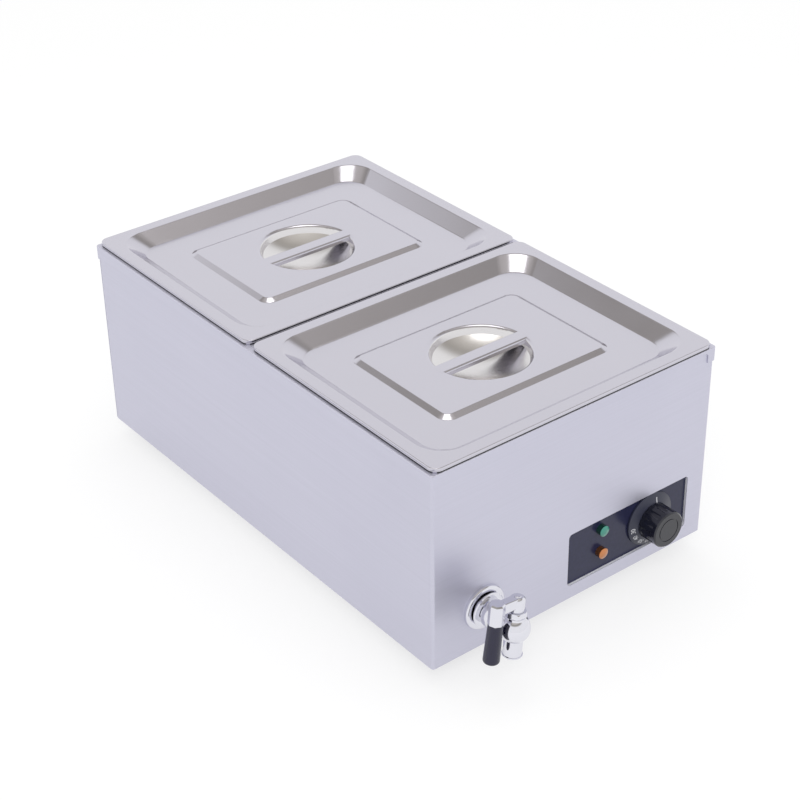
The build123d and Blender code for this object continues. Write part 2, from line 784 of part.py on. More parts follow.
def bulb_clips():
    """Saddles that hold the bulb up against the tank's floor."""
    z = bulb_z()
    inner = bulb_radius + running_fit
    outer = inner + sheet
    rise = tank_under - z
    clips = []
    for place in bulb_clip_places:
        y = bulb_y + place * bulb_length
        middle = y + bulb_clip_width / 2
        clip = rod(outer, bulb_clip_width, bulb_x, y, z, (0, 1, 0))
        clip += block(2 * outer, bulb_clip_width, rise, bulb_x, middle, z)
        clip += block(bulb_clip_span, bulb_clip_width, sheet, bulb_x, middle, tank_under - sheet)
        clip -= rod(inner, bulb_clip_width, bulb_x, y, z, (0, 1, 0))
        clip -= block(2 * inner, bulb_clip_width, 2 * rise, bulb_x, middle, z)
        clips.append(clip - block(2 * outer, bulb_clip_width, outer, bulb_x, middle, tank_under))
    return together(clips)


# Heating element

def element_legs():
    reach = (element_runs - 1) / 2 * element_pitch
    return (-reach, reach)


def heating_element():
    """Sheathed element: four runs over the tank's floor, with both ends down through it."""
    left, right = element_legs()
    z = tank_floor + element_rise
    inner_left = left + element_pitch
    inner_right = right - element_pitch
    low = tank_under - element_leg
    turn = element_front + element_pitch
    corners = [(left, element_back, z), (inner_left, element_back, z), (inner_left, turn, z),
               (inner_right, turn, z), (inner_right, element_back, z), (right, element_back, z)]
    points = [(left, element_front, low), (left, element_front, z), *corners,
              (right, element_front, z), (right, element_front, low)]
    bends = [element_leg_bend] + [element_bend] * len(corners) + [element_leg_bend]
    return tube_along(FilletPolyline(*points, radius=bends), element_radius)


def element_fittings():
    """Threaded brass bodies through the tank's floor, with a flange on the water side."""
    fittings = []
    for x in element_legs():
        top = tank_floor + washer_height
        body = rod(fitting_flange_radius, fitting_flange_height, x, element_front, top)
        length = washer_height + sheet + washer_height + fitting_nut_height + thread_end
        body += rod(fitting_radius, length, x, element_front, top - length)
        fittings.append(body - rod(element_radius, 4 * length, x, element_front, top - 2 * length))
    return together(fittings)


def element_washers():
    """Seals on both sides of the tank's floor."""
    return together(ring(fitting_flange_radius, fitting_radius, washer_height, x, element_front, z)
                    for x in element_legs() for z in (tank_floor, tank_under - washer_height))


def element_nuts():
    z = tank_under - washer_height - fitting_nut_height
    return together(chamfered_nut(fitting_nut_flats, fitting_nut_height, x, element_front, z)
                    - rod(fitting_radius, fitting_nut_height, x, element_front, z) for x in element_legs())


def element_terminals():
    """Threaded pins on the element's cold ends."""
    z = tank_under - element_leg
    return together(rod(terminal_radius, terminal_length, x, element_front, z, (0, 0, -1))
                    for x in element_legs())


def element_saddles():
    """Notched bars that hold the element's runs off the tank's floor."""
    left, right = element_legs()
    z = tank_floor + element_rise
    saddles = []
    for y in saddle_places:
        bar = block(right - left + 2 * saddle_overhang, saddle_thick, element_rise, y=y, z=tank_floor)
        for i in range(element_runs):
            x = left + i * element_pitch
            bar -= rod(element_radius, 2 * saddle_thick, x, y - saddle_thick, z, (0, 1, 0))
        saddles.append(bar)
    return together(saddles)


# Electrical pieces in the base

def cut_out():
    """Disc thermostat clamped under the tank's floor."""
    body = rod(cut_out_radius, cut_out_height, cut_out_x, cut_out_y, tank_under, (0, 0, -1))
    body += block(cut_out_flange_length, cut_out_radius, cut_out_flange_thick, cut_out_x, cut_out_y,
                  tank_under - cut_out_flange_thick)
    for side in (-1, 1):
        body += block(sheet, lamp_tag_width * 2, lamp_tag_length, cut_out_x + side * cut_out_radius / 2,
                      cut_out_y, tank_under - cut_out_height - lamp_tag_length)
    return body


def terminal_block():
    """Moulded block on the base plate with a row of clamp wells."""
    body = block(block_length, block_width, block_height, block_x, block_y, base_top)
    for x, y, z in block_wells():
        body -= rod(block_screw_radius, block_screw_depth, x, y, z)
    return fillet(body.edges().filter_by(Axis.Z).group_by(Axis.X)[0], block_corner)


def block_wells():
    """Bottoms of the clamp wells."""
    pitch = block_length / block_ways
    z = base_top + block_height - block_screw_depth
    return [(block_x + (i - (block_ways - 1) / 2) * pitch, block_y, z) for i in range(block_ways)]


def terminal_screws():
    return together(rod(block_screw_radius, block_screw_length, *place) for place in block_wells())


def earth_stud():
    """Bolt up through the base plate with its nut."""
    stud = rod(earth_radius, earth_length, earth_x, earth_y, foot_height)
    stud += hexagon(foot_nut_flats, foot_nut_height, earth_x, earth_y, base_top)
    return stud + rod(foot_head_radius, foot_head_height, earth_x, earth_y, foot_height, (0, 0, -1))


# Feet

def foot_places():
    return [(sx * foot_x, sy * foot_y) for sx in (-1, 1) for sy in (-1, 1)]


def feet():
    """Tapered rubber feet with a stepped hole for the bolt."""
    foot = Cone(foot_radius - foot_taper, foot_radius, foot_height, align=UPWARD)
    foot = fillet(foot.edges().group_by(Axis.Z)[0], foot_round)
    foot -= Cylinder(foot_bolt_radius, foot_height, align=UPWARD)
    foot -= Cylinder(foot_head_radius + hole_clearance, foot_head_recess + foot_head_height, align=UPWARD)
    return together(Pos(x, y, 0) * foot for x, y in foot_places())


def foot_bolts():
    seat = foot_head_recess + foot_head_height
    length = foot_height - seat + sheet + foot_nut_height + thread_end
    bolt = pan_head_screw(length, foot_bolt_radius, foot_head_radius, foot_head_height)
    return together(Pos(x, y, seat) * bolt for x, y in foot_places())


def foot_nuts():
    return together(hexagon(foot_nut_flats, foot_nut_height, x, y, base_top)
                    - rod(foot_bolt_radius, foot_nut_height, x, y, base_top) for x, y in foot_places())


# Tap. Its own frame has the water's way out along -Y from the casing's front and the spindle along Z

def tap_place(shape):
    """Moves a piece from the tap's own frame to the front of the casing."""
    return Pos(tap_x, front, tap_z) * Rot(0, tap_roll, 0) * shape


def tap_rose():
    """Round cover on the casing's front."""
    disc = rod(rose_radius, rose_thick, along=(0, -1, 0))
    disc = fillet(disc.edges().group_by(Axis.Y)[0], rose_round)
    return tap_place(disc - rod(tail_radius, rose_thick, along=(0, -1, 0)))


def tap_backnut():
    nut = chamfered_nut(backnut_flats, backnut_height, y=sheet, along=(0, 1, 0))
    return tap_place(nut - rod(tail_radius, backnut_height, y=sheet, along=(0, 1, 0)))


def tap_body():
    """Casting: tail and barb, stem with a collar, round bulge, neck, elbow ball, bonnet and spout."""
    body = rod(barb_radius, barb_length, y=barb_end, along=(0, -1, 0))
    body += rod(tail_radius, tail_end + rose_thick, y=tail_end, along=(0, -1, 0))
    body += rod(stem_radius, bulge_reach - rose_thick, y=-rose_thick, along=(0, -1, 0))
    collar = rod(collar_radius, collar_end - collar_start, y=-collar_start, along=(0, -1, 0))
    body += chamfer(collar.edges(), collar_chamfer)
    span = 4 * bulge_radius
    room = block(span, span, span, y=-collar_end - span / 2, z=-span / 2)
    body += (Pos(0, -bulge_reach, 0) * Rot(90, 0, 0) * Sphere(bulge_radius)) & room
    body += rod(neck_radius, tap_reach - bulge_reach, y=-bulge_reach, along=(0, -1, 0))
    body += Pos(0, -tap_reach, ball_rise) * Sphere(ball_radius)
    body += rod(bonnet_radius, bonnet_top, y=-tap_reach)
    body += rod(spout_radius, spout_drop, y=-tap_reach, along=(0, 0, -1))
    body += rod(spout_radius + spout_bead, 2 * spout_bead, y=-tap_reach, z=-spout_drop)
    body -= rod(waterway_radius, tap_reach + barb_end, y=barb_end, along=(0, -1, 0))
    body -= rod(chamber_radius, plug_half + 2 * bonnet_top, y=-tap_reach, z=-plug_half)
    body -= rod(outlet_radius, spout_drop, y=-tap_reach, along=(0, 0, -1))
    return tap_place(body)


def tap_plug():
    """Turning plug with an angled waterway, and the spindle that the lever turns."""
    radius = chamber_radius - running_fit
    plug = rod(radius, 2 * plug_half - 2 * running_fit, z=running_fit - plug_half)
    plug -= rod(waterway_radius, 2 * radius, along=(1, 0, 0))
    plug -= rod(waterway_radius, 2 * plug_half, along=(0, 0, -1))
    plug += rod(spindle_radius, hub_seat_top() - plug_half + 2 * running_fit, z=plug_half - 2 * running_fit)
    return tap_place(Pos(0, -tap_reach, 0) * plug)


def hub_bottom():
    return bonnet_top + gland_height + 2 * touch_gap


def hub_seat_top():
    return hub_top - hub_cap


def tap_packing():
    """Soft ring round the spindle, on top of the chamber."""
    z = bonnet_top - packing_height - gland_spigot
    packing = rod(chamber_radius, packing_height, y=-tap_reach, z=z)
    return tap_place(packing - rod(spindle_radius + running_fit, packing_height, y=-tap_reach, z=z))


def gland_nut():
    """Hexagonal nut that presses on the packing."""
    nut = chamfered_nut(gland_flats, gland_height, y=-tap_reach, z=bonnet_top)
    nut += rod(chamber_radius, gland_spigot, y=-tap_reach, z=bonnet_top - gland_spigot)
    return tap_place(nut - rod(spindle_radius + running_fit, 2 * gland_height, y=-tap_reach,
                               z=bonnet_top - gland_spigot))


def splayed(shape):
    """Leans a piece of the grip outwards about its top."""
    return Pos(-arm_length, -tap_reach, grip_top) * Rot(0, grip_splay, 0) * shape


def octagon(flats, height):
    outline = RegularPolygon(flats / 2, 8, major_radius=False)
    return extrude(outline, amount=height)


def tap_lever():
    """Cast lever: hub on the spindle, arm, and a faceted knuckle with the grip's tang."""
    bottom = hub_bottom()
    hub = rod(hub_radius, hub_top - bottom, z=bottom)
    hub = fillet(hub.edges().group_by(Axis.Z)[-1], hub_round)
    arm = block(arm_length, arm_width, hub_top - arm_bottom, x=-arm_length / 2, z=arm_bottom)
    arm = fillet(arm.edges().filter_by(Axis.X), lever_round)
    knuckle = Pos(-arm_length, 0, grip_top) * octagon(knuckle_flats, knuckle_top - grip_top)
    knuckle = chamfer(knuckle.edges().group_by(Axis.Z)[-1], knuckle_chamfer)
    lever = hub + arm + knuckle
    lever -= rod(spindle_radius, hub_seat_top() - bottom, z=bottom)
    lever -= rod(lever_screw_radius, hub_top, z=hub_seat_top())
    lever = Pos(0, -tap_reach, 0) * lever
    lever += splayed(rod(tang_radius, tang_length + tang_sunk, z=tang_sunk, along=(0, 0, -1)))
    return tap_place(lever)


def lever_grip():
    """Moulded grip on the lever's tang."""
    length = grip_top - grip_bottom
    grip = Pos(0, 0, -length) * Cone(grip_radius, grip_top_radius, length, align=UPWARD)
    grip = fillet(grip.edges().group_by(Axis.Z)[0], grip_round)
    grip -= rod(tang_radius, tang_length, along=(0, 0, -1))
    cut = Pos(-arm_length, -tap_reach, grip_top) * block(
        4 * grip_radius, 4 * grip_radius, 2 * grip_radius)
    return tap_place(splayed(grip) - cut)


def lever_screw():
    """Domed screw on top of the lever's hub."""
    shank = rod(lever_screw_radius, hub_top - hub_seat_top(), y=-tap_reach, z=hub_seat_top())
    head = rod(lever_screw_head, lever_screw_head_height, y=-tap_reach, z=hub_top)
    head = fillet(head.edges().group_by(Axis.Z)[-1], lever_screw_round)
    return tap_place(shank + head)


# Drain

def drain_spigot():
    """Flanged spigot through the tank's floor."""
    end = tap_z + hose_bend + hose_start_gap
    spigot = rod(drain_flange_radius, drain_flange_height, tap_x, drain_y, tank_floor)
    spigot += rod(barb_radius, tank_floor - end, tap_x, drain_y, end)
    return spigot - rod(barb_radius - spigot_wall, 2 * tank_floor, tap_x, drain_y, 0)


def drain_nut():
    z = tank_under - spigot_nut_height
    nut = chamfered_nut(spigot_nut_flats, spigot_nut_height, tap_x, drain_y, z)
    return nut - rod(barb_radius, spigot_nut_height, tap_x, drain_y, z)


def drain_hose():
    """Bent hose from the spigot to the tap's barb."""
    start = (tap_x, front + tail_end + backnut_height, tap_z)
    corner = (tap_x, drain_y, tap_z)
    path = FilletPolyline(start, corner, (tap_x, drain_y, hose_top), radius=hose_bend)
    return tube_along(path, barb_radius + hose_wall) - tube_along(path, barb_radius)


def hose_clips():
    """Bands round both ends of the hose, each with a screw ear."""
    inner = barb_radius + hose_wall
    clips = []
    for place, turn in ((Pos(tap_x, front + barb_end - barb_length / 2, tap_z), Rot(-90, 0, 0)),
                        (Pos(tap_x, drain_y, hose_top - clip_width), Rot(0, 0, 0))):
        band = Cylinder(inner + clip_thick, clip_width, align=UPWARD)
        band += block(clip_ear, clip_ear, clip_width, x=inner + clip_ear / 2)
        clips.append(place * turn * (band - Cylinder(inner, clip_width, align=UPWARD)))
    return together(clips)


# Cord gland in the back

def cord_gland():
    """Gland body with a domed cap; the cord's way in runs through it."""
    z = case_bottom + gland_rise
    body = chamfered_nut(gland_body_flats, gland_body_height, gland_x, back, z, (0, 1, 0))
    cap = rod(gland_cap_radius, gland_cap_height, gland_x, back + gland_body_height, z, (0, 1, 0))
    body += fillet(cap.edges().group_by(Axis.Y)[-1], gland_cap_round)
    inside = sheet + gland_nut_height + thread_end
    body += rod(gland_thread_radius, inside, gland_x, back - inside, z, (0, 1, 0))
    length = inside + gland_body_height + gland_cap_height
    return body - rod(gland_bore, length, gland_x, back - inside, z, (0, 1, 0))


def cord_gland_nut():
    z = case_bottom + gland_rise
    y = back - sheet - gland_nut_height
    nut = chamfered_nut(gland_body_flats, gland_nut_height, gland_x, y, z, (0, 1, 0))
    return nut - rod(gland_thread_radius, gland_nut_height, gland_x, y, z, (0, 1, 0))


os.makedirs("parts", exist_ok=True)

save("casing_wrap", casing_wrap())
save("back_panel", back_panel())
save("base_plate", base_plate())
save("base_screws", base_screws())
save("back_screws", back_screws())
save("top_frame", top_frame())
save("water_tank", water_tank())
save("cross_bar", cross_bar())
save("bar_ledges", bar_ledges())
save("front_pan", pan(-pan_y))
save("rear_pan", pan(pan_y))
lid = lid_shell()
strap = lid_strap()
for name, y in (("front", -pan_y), ("rear", pan_y)):
    save(f"{name}_lid", Pos(0, y, 0) * lid)
    save(f"{name}_lid_strap", Pos(0, y, 0) * strap)
save("control_plate", control_plate())
upper_lamp, lower_lamp = lamp_levels()
save("green_lens", lamp_lens(upper_lamp))
save("amber_lens", lamp_lens(lower_lamp))
save("lamp_holders", lamp_holders())
save("dial_skirt", dial_skirt())
save("control_knob", control_knob())
save("thermostat_shaft", thermostat_shaft())
save("thermostat_body", thermostat_body())
save("thermostat_screws", thermostat_screws())
save("thermostat_capillary", thermostat_capillary())
save("thermostat_bulb", thermostat_bulb())
save("bulb_clips", bulb_clips())
save("heating_element", heating_element())
save("element_fittings", element_fittings())
save("element_washers", element_washers())
save("element_nuts", element_nuts())
save("element_terminals", element_terminals())
save("element_saddles", element_saddles())
save("cut_out", cut_out())
save("terminal_block", terminal_block())
save("terminal_screws", terminal_screws())
save("earth_stud", earth_stud())
save("feet", feet())
save("foot_bolts", foot_bolts())
save("foot_nuts", foot_nuts())
save("tap_rose", tap_rose())
save("tap_backnut", tap_backnut())
save("tap_body", tap_body())
save("tap_plug", tap_plug())
save("tap_packing", tap_packing())
save("tap_gland_nut", gland_nut())
save("tap_lever", tap_lever())
save("lever_grip", lever_grip())
save("lever_screw", lever_screw())
save("drain_spigot", drain_spigot())
save("drain_nut", drain_nut())
save("drain_hose", drain_hose())
save("hose_clips", hose_clips())
save("cord_gland", cord_gland())
save("cord_gland_nut", cord_gland_nut())
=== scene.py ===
from math import cos, hypot, radians, sin

import bmesh
import bpy
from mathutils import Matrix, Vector


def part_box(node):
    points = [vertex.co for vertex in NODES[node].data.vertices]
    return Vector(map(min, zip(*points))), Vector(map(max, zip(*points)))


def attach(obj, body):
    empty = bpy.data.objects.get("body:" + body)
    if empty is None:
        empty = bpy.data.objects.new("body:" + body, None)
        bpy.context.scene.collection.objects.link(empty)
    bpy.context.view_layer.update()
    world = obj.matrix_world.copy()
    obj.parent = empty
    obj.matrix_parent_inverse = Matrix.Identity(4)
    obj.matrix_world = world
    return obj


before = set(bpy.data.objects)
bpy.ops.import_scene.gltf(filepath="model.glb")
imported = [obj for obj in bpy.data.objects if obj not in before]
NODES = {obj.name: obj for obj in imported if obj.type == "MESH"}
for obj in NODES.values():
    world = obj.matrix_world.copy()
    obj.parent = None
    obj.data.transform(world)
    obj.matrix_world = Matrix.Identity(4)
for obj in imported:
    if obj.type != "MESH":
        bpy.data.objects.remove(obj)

bl_info = {
    "name": "Countertop bain-marie",
    "version": (1, 0, 0),
    "blender": (4, 5, 0),
    "location": "View3D > Sidebar > Bain-marie",
    "description": "Finishes and small details of a two-pan wet-heat food warmer",
    "category": "Object",
}


# Places read from the frame

def middle(node):
    low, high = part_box(node)
    return (low + high) / 2


LID_SPREAD = middle("rear_lid").y
PAN_LOW, PAN_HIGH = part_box("rear_pan")
PAN_HALF = (PAN_HIGH.y - PAN_LOW.y) / 2
CASE_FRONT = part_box("casing_wrap")[0].y
PLATE_LOW, PLATE_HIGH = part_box("control_plate")
LENS_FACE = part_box("green_lens")[0].y
DIAL_LOW, DIAL_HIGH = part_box("dial_skirt")
DIAL_CENTRE = middle("dial_skirt")
DIAL_RADIUS = (DIAL_HIGH.x - DIAL_LOW.x) / 2


# Sizes that follow the solids, in metres

DIAL_RIM = 0.0016         # the dial's straight edge
DIAL_TOP_RADIUS = 0.0186  # where the dial's coned face meets the knob
TICK_OVERLAP = 0.0002     # how far the tick reaches in under the knob
LENS_DOME = 0.0017        # depth of a lens's domed face
FLANGE_BEND = 0.0004      # start of the window's flange, behind the casing's front
FLANGE_PAST = 0.001       # the flange's painted highlight goes on this far past the plate's face
WELD = 1e-7               # points closer than this are merged in a finished piece
TEXT_WELD = 1e-6          # and in flat text


# Shares and counts

DIGIT_SHARE = 0.69        # a digit's height as a share of the font's size
STROKE = 0.02             # how much fatter the digits are drawn, as a share of their height
LENS_SIDE_SHADE = 0.16          # painted shade: brightness of a lens's straight sides, as a share of its face
GRAIN_ALONG = 14          # noise cells in a metre, along the brushed grain
GRAIN_ACROSS = 2600       # and across it
BROAD_STREAKS = 0.22      # how close the broad streaks lie, as a share of the fine ones
FINE_WEIGHT = 0.6         # how much of the grain is fine
TICK_PIECES = 8           # so that the tick can follow the cone


# The stage, in metres

FLOOR_HALF = 6.0
CAMERA_REACH = 50.0
LAMP_TARGET = Vector((0, 0, 0.12))


# Values that a user would change

def colour_value(name, description, default):
    return bpy.props.FloatVectorProperty(
        name=name, description=description, subtype="COLOR", default=default, min=0, max=1)


def number_value(name, description, default, low=0.0, high=1.0):
    return bpy.props.FloatProperty(
        name=name, description=description, default=default, min=low, max=high)


def count_value(name, description, default, low, high):
    return bpy.props.IntProperty(
        name=name, description=description, default=default, min=low, max=high)


def length_value(name, description, default, low=0.0, high=0.01, precision=4):
    return bpy.props.FloatProperty(
        name=name, description=description, unit="LENGTH", default=default,
        min=low, max=high, precision=precision)


def angle_value(name, description, degrees):
    return bpy.props.FloatProperty(
        name=name, description=description, subtype="ANGLE", default=radians(degrees))


def place_value(name, description, default):
    return bpy.props.FloatVectorProperty(
        name=name, description=description, subtype="TRANSLATION", unit="LENGTH",
        default=default, precision=4)


def turn_value(name, description, degrees):
    return bpy.props.FloatVectorProperty(
        name=name, description=description, subtype="EULER",
        default=[radians(turn) for turn in degrees], precision=4)


class SteelLook(bpy.types.PropertyGroup):
    sheet: colour_value("Sheet", "Colour of the brushed casing", (0.653, 0.648, 0.76))
    pressed: colour_value("Pressed sheet", "Colour of the lids and pans", (0.605, 0.592, 0.66))
    dish: colour_value("Dish", "Colour of the polished finger dish", (0.73, 0.715, 0.725))
    # Painted highlight: bright colour that the window's flange shows in place of its steel
    flange: colour_value(
        "Window edge", "Colour of the sheet that turns in round the window", (0.95, 0.95, 1.0))
    # Painted shadow: near-black colour painted along the foot of a pan's rim, standing in for
    # the shade in the gap below it
    rim_shade: colour_value(
        "Rim line", "Colour of the line at the foot of a pan's rim", (0.012, 0.012, 0.016))
    satin: colour_value("Satin", "Colour of the hidden steel pieces", (0.50, 0.50, 0.53))
    sheet_metal: number_value(
        "Sheet sheen", "How much of the casing's light is mirrored rather than scattered", 0.72)
    sheet_roughness: number_value(
        "Sheet roughness", "Roughness of the brushed casing", 0.43, low=0.05)
    pressed_roughness: number_value(
        "Pressed roughness", "Roughness of the lids and pans", 0.17, low=0.02)
    dish_roughness: number_value(
        "Dish roughness", "Roughness of the polished finger dish", 0.20, low=0.02)
    grain_depth: length_value(
        "Grain depth", "Height of the brushed grain", 0.00002, high=0.001, precision=6)
    wave_depth: length_value(
        "Wave depth", "Height of the slight waves in the pressed sheet", 0.0008)
    dish_radius: length_value(
        "Dish radius", "Radius of the polished dish in each lid", 0.0475, low=0.01, high=0.1)
    rim_height: length_value(
        "Rim height", "Height of a pan's turned-down rim", 0.0022, low=0.001)
    # Size of the painted shadow band at the foot of a pan's rim
    rim_shade_height: length_value(
        "Rim line height", "Height of the line at the foot of a pan's rim", 0.0013)
    rim_shade_reach: length_value(
        "Rim line reach", "How far in from a pan's edge the line goes", 0.0015)


class ControlLook(bpy.types.PropertyGroup):
    panel: colour_value("Panel", "Colour of the control plate", (0.026, 0.028, 0.074))
    knob: colour_value("Knob", "Colour of the knob", (0.010, 0.011, 0.021))
    dial: colour_value("Dial", "Colour of the ring with the numbers", (0.030, 0.033, 0.062))
    ink: colour_value("Marks", "Colour of the dial's tick and numbers", (0.80, 0.80, 0.84))
    green: colour_value("Green lens", "Colour of the upper lamp", (0.035, 0.27, 0.20))
    amber: colour_value("Amber lens", "Colour of the lower lamp", (0.58, 0.20, 0.05))
    panel_roughness: number_value("Panel roughness", "Roughness of the control plate", 0.22)
    knob_roughness: number_value("Knob roughness", "Roughness of the knob", 0.17)
    dial_roughness: number_value("Dial roughness", "Roughness of the dial", 0.30)
    ink_roughness: number_value("Marks' roughness", "Roughness of the printed marks", 0.4)
    lens_roughness: number_value("Lens roughness", "Roughness of the lamps' lenses", 0.15)
    number_height: length_value(
        "Number height", "Height of the dial's numbers", 0.0042, low=0.001)
    first_number: count_value(
        "First number", "Lowest number on the dial", 30, low=0, high=90)
    number_step: count_value(
        "Number step", "Step between the dial's numbers", 10, low=1, high=20)
    number_count: count_value(
        "Numbers", "How many numbers the dial has", 7, low=1, high=12)
    first_angle: angle_value(
        "First angle", "Where the lowest number stands, anticlockwise from the right", 190)
    angle_step: angle_value("Angle step", "Angle between the numbers", 24)
    tick_angle: angle_value(
        "Tick angle", "Where the tick stands, anticlockwise from the right", 77)
    tick_length: length_value("Tick length", "Length of the tick", 0.0048, low=0.001)
    tick_width: length_value(
        "Tick width", "Width of the tick", 0.0011, low=0.0002, high=0.005)
    mark_relief: length_value(
        "Mark relief", "How far the printed marks stand out", 0.00008,
        low=0.00001, high=0.001, precision=5)


class TapLook(bpy.types.PropertyGroup):
    chrome: colour_value("Chrome", "Colour of the tap's plating", (0.76, 0.76, 0.82))
    grip: colour_value("Grip", "Colour of the lever's grip", (0.012, 0.011, 0.040))
    chrome_roughness: number_value(
        "Chrome roughness", "Roughness of the plating", 0.08, low=0.01)
    grip_roughness: number_value("Grip roughness", "Roughness of the lever's grip", 0.24)


class InnerLook(bpy.types.PropertyGroup):
    brass: colour_value("Brass", "Colour of the turned fittings", (0.62, 0.45, 0.20))
    copper: colour_value("Copper", "Colour of the thin tube and bulb", (0.66, 0.33, 0.20))
    sheath: colour_value("Element", "Colour of the heating element", (0.19, 0.17, 0.16))
    rubber: colour_value("Rubber", "Colour of feet, seals and hose", (0.018, 0.018, 0.018))
    housing: colour_value(
        "Housings", "Colour of the electrical housings", (0.68, 0.66, 0.60))
    gland: colour_value("Gland", "Colour of the cord gland", (0.020, 0.020, 0.020))
    brass_roughness: number_value("Brass roughness", "Roughness of the turned fittings", 0.28)
    copper_roughness: number_value(
        "Copper roughness", "Roughness of the thin tube and bulb", 0.30)
    sheath_roughness: number_value(
        "Element roughness", "Roughness of the heating element", 0.45)
    clip_roughness: number_value("Clip roughness", "Roughness of the small steel pieces", 0.32)
    rubber_roughness: number_value(
        "Rubber roughness", "Roughness of feet, seals and hose", 0.62)
    housing_roughness: number_value(
        "Housing roughness", "Roughness of the electrical housings", 0.45)
    gland_roughness: number_value("Gland roughness", "Roughness of the cord gland", 0.40)


class StageLook(bpy.types.PropertyGroup):
    camera_place: place_value("Camera", "Camera's place", (-0.94617, -1.23735, 1.07576))
    camera_turn: turn_value("Camera turn", "Camera's rotation", (58.0497, 0.8116, -38.2089))
    lens: number_value(
        "Lens", "Focal length on a 36 mm sensor, in millimetres", 83.568, low=10, high=300)
    floor: colour_value("Floor", "Colour of the floor", (0.36, 0.36, 0.36))
    floor_glow: number_value(
        "Floor glow", "White that camera and metal see in the floor besides its light", 0.66)
    fill: number_value(
        "Fill light", "Strength of the even light from all round", 0.86, high=4)
    ceiling: colour_value(
        "Ceiling", "Colour of the ceiling, which shows in the metal", (0.64, 0.61, 0.56))
    ceiling_edge: colour_value(
        "Ceiling's edge", "Colour of the darker band where the ceiling meets the walls",
        (0.36, 0.34, 0.305))
    wall_top: number_value(
        "Wall top", "Where the white walls end, from 0 at the horizon to 1 overhead", 0.60)
    edge_height: number_value("Edge height", "Where the darker band lies", 0.74)
    ceiling_height: number_value("Ceiling height", "Where the plain ceiling starts", 0.90)
    overhead: number_value(
        "Overhead light", "Power of the round lamp above, in watts", 3.6, high=500)
    overhead_colour: colour_value("Overhead colour", "Colour of the lamp above", (1, 1, 0.98))
    overhead_place: place_value("Overhead place", "Where it hangs", (0.10, 0.12, 1.80))
    overhead_width: length_value("Overhead width", "How wide it is", 0.85, high=4)
    key: number_value(
        "Key light", "Power of the lamp at the front left, in watts", 10.0, high=500)
    key_colour: colour_value("Key colour", "Colour of the front left lamp", (1, 1, 1))
    key_place: place_value("Key place", "Where it hangs", (-1.3, -1.5, 1.9))
    key_width: length_value("Key width", "How wide it is", 1.0, high=4)


# Nodes

def feed(tree, socket, value):
    """Links a socket to another one, or gives it a number or a colour."""
    if isinstance(value, bpy.types.NodeSocket):
        tree.links.new(value, socket)
    else:
        socket.default_value = value


def maths(tree, kind, first, second=None):
    """Math node on sockets or numbers; returns its output."""
    node = tree.nodes.new("ShaderNodeMath")
    node.operation = kind
    feed(tree, node.inputs[0], first)
    if second is not None:
        feed(tree, node.inputs[1], second)
    return node.outputs[0]


def spread(tree, value, low, high):
    """Takes a value from 0..1 to low..high."""
    node = tree.nodes.new("ShaderNodeMapRange")
    for label, given in (("Value", value), ("To Min", low), ("To Max", high)):
        feed(tree, node.inputs[label], given)
    return node.outputs[0]


def between(tree, value, low, high):
    """1 where the value lies between two bounds."""
    above = maths(tree, "GREATER_THAN", value, low)
    return maths(tree, "MULTIPLY", above, maths(tree, "LESS_THAN", value, high))


def blended(tree, mask, first, second, kind="RGBA"):
    """Mixes two colours or two numbers by a mask."""
    mix = tree.nodes.new("ShaderNodeMix")
    mix.data_type = kind
    feed(tree, mix.inputs["Factor"], mask)
    for label, value in (("A", first), ("B", second)):
        whole = kind == "FLOAT" or isinstance(value, bpy.types.NodeSocket)
        feed(tree, mix.inputs[label], value if whole else (*value, 1))
    return mix.outputs["Result"]


def tint(tree, mask, colour, low, high):
    """The colour made darker or lighter by a mask."""
    dark, light = [[min(1, c * share) for c in colour] for share in (low, high)]
    return blended(tree, mask, dark, light)


def object_place(tree):
    """Object coordinates."""
    return tree.nodes.new("ShaderNodeTexCoord").outputs["Object"]


def stretched_place(tree, stretch):
    """Object coordinates, stretched along the axes."""
    mapping = tree.nodes.new("ShaderNodeMapping")
    mapping.inputs["Scale"].default_value = stretch
    tree.links.new(object_place(tree), mapping.inputs["Vector"])
    return mapping.outputs["Vector"]


def split_place(tree):
    """Object coordinates split into X, Y and Z."""
    parts = tree.nodes.new("ShaderNodeSeparateXYZ")
    tree.links.new(object_place(tree), parts.inputs[0])
    return parts.outputs


def noise(tree, place, scale, detail, roughness=0.5, distortion=0.0):
    """Cloudy noise from 0 to 1 at a place."""
    node = tree.nodes.new("ShaderNodeTexNoise")
    values = {"Vector": place, "Scale": scale, "Detail": detail, "Roughness": roughness,
              "Distortion": distortion}
    for label, value in values.items():
        feed(tree, node.inputs[label], value)
    return node.outputs[0]


def relief(tree, height, distance, strength):
    """Normals of a surface that a height lifts by up to a distance."""
    bump = tree.nodes.new("ShaderNodeBump")
    for label, value in (("Height", height), ("Distance", distance), ("Strength", strength)):
        feed(tree, bump.inputs[label], value)
    return bump.outputs["Normal"]


# Node groups for effects that several materials share

GROUPS = {}


def new_group(name, numbers, results):
    """Empty node group; returns it with the sockets to read and the sockets to feed."""
    group = bpy.data.node_groups.new(name, "ShaderNodeTree")
    for label, default in numbers.items():
        socket = group.interface.new_socket(
            label, in_out="INPUT", socket_type="NodeSocketFloat")
        socket.default_value = default
    for label, kind in results.items():
        group.interface.new_socket(label, in_out="OUTPUT", socket_type=kind)
    start, end = group.nodes.new("NodeGroupInput"), group.nodes.new("NodeGroupOutput")
    return group, start.outputs, end.inputs


